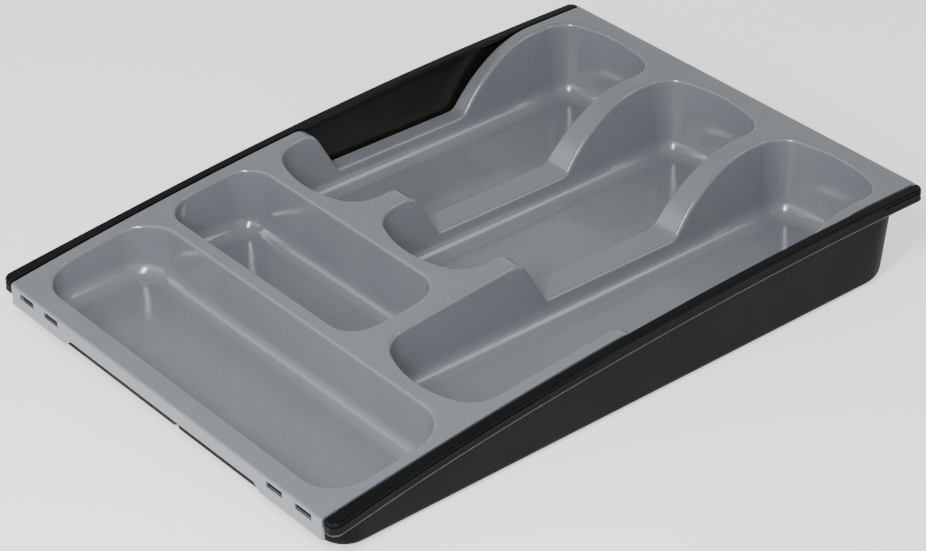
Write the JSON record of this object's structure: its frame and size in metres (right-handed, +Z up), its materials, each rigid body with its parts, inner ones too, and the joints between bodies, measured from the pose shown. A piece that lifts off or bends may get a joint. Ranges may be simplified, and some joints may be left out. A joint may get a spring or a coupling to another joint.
{
  "type": "extending cutlery tray",
  "caption": "Cutlery tray with an arched deck, cross wells and long wells with a finger dip, and dark wings that slide out on both sides.",
  "frame": {"origin": "on the table, under the middle of the closed tray", "axes": "+X to the right across the tray, along which the right wing slides out; +Y from the low front edge to the high rear edge; +Z up"},
  "size_m": [0.2882, 0.4, 0.0497],
  "materials": {
    "grey_plastic": "smooth satin injection-moulded plastic",
    "black_plastic": "finely textured injection-moulded plastic"
  },
  "bodies": {
    "centre": {"centre_tray": "grey_plastic"},
    "left_wing": {"left_wing": "black_plastic"},
    "right_wing": {"right_wing": "black_plastic"}
  },
  "joints": [
    {"name": "left_slide", "type": "slide", "parent": "centre", "child": "left_wing", "axis": [-1, 0, 0], "range_m": [0, 0.0821]},
    {"name": "right_slide", "type": "slide", "parent": "centre", "child": "right_wing", "axis": [1, 0, 0], "range_m": [0, 0.0821]}
  ]
}
